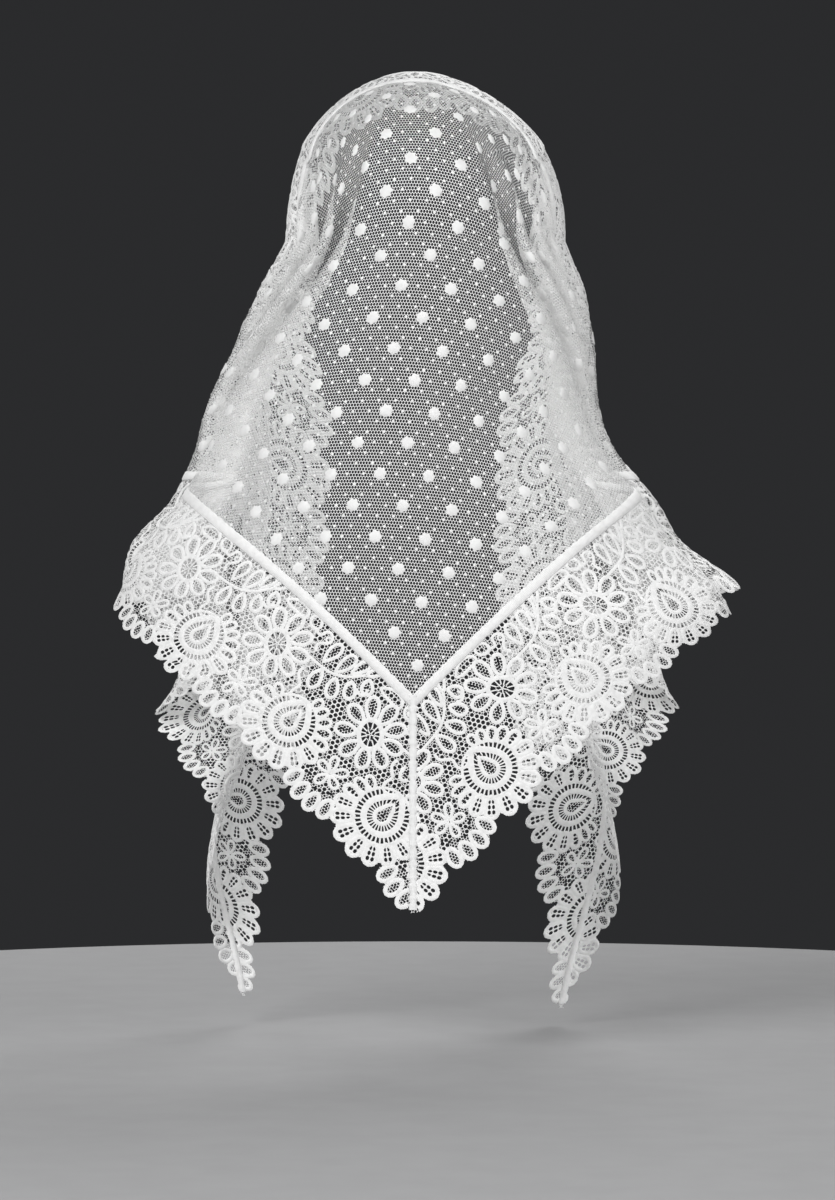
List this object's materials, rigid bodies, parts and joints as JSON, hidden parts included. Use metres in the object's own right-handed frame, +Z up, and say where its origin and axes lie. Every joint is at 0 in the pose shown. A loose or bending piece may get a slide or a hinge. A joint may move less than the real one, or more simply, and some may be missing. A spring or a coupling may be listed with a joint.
{
  "type": "mantilla veil",
  "caption": "Triangular veil of dotted net with a wide scalloped floral lace border, draped over a head and shoulders.",
  "frame": {"origin": "crown seat: the middle of the underside where the cloth rests on top of the head", "axes": "+X to the wearer's right, +Y to the wearer's front, +Z up"},
  "size_m": [0.4423, 0.2409, 0.665],
  "materials": {
    "net_panel": "sheer dotted net",
    "lace": "woven lace",
    "band": "woven seam band"
  },
  "bodies": {
    "root": {"net_panel": "net_panel", "back_lace_left": "lace", "back_lace_right": "lace", "front_lace": "lace", "seam_band_left": "band", "seam_band_right": "band", "seam_band_front": "band", "mitre_seam_back": "band", "mitre_seam_left": "band", "mitre_seam_right": "band"}
  },
  "joints": []
}
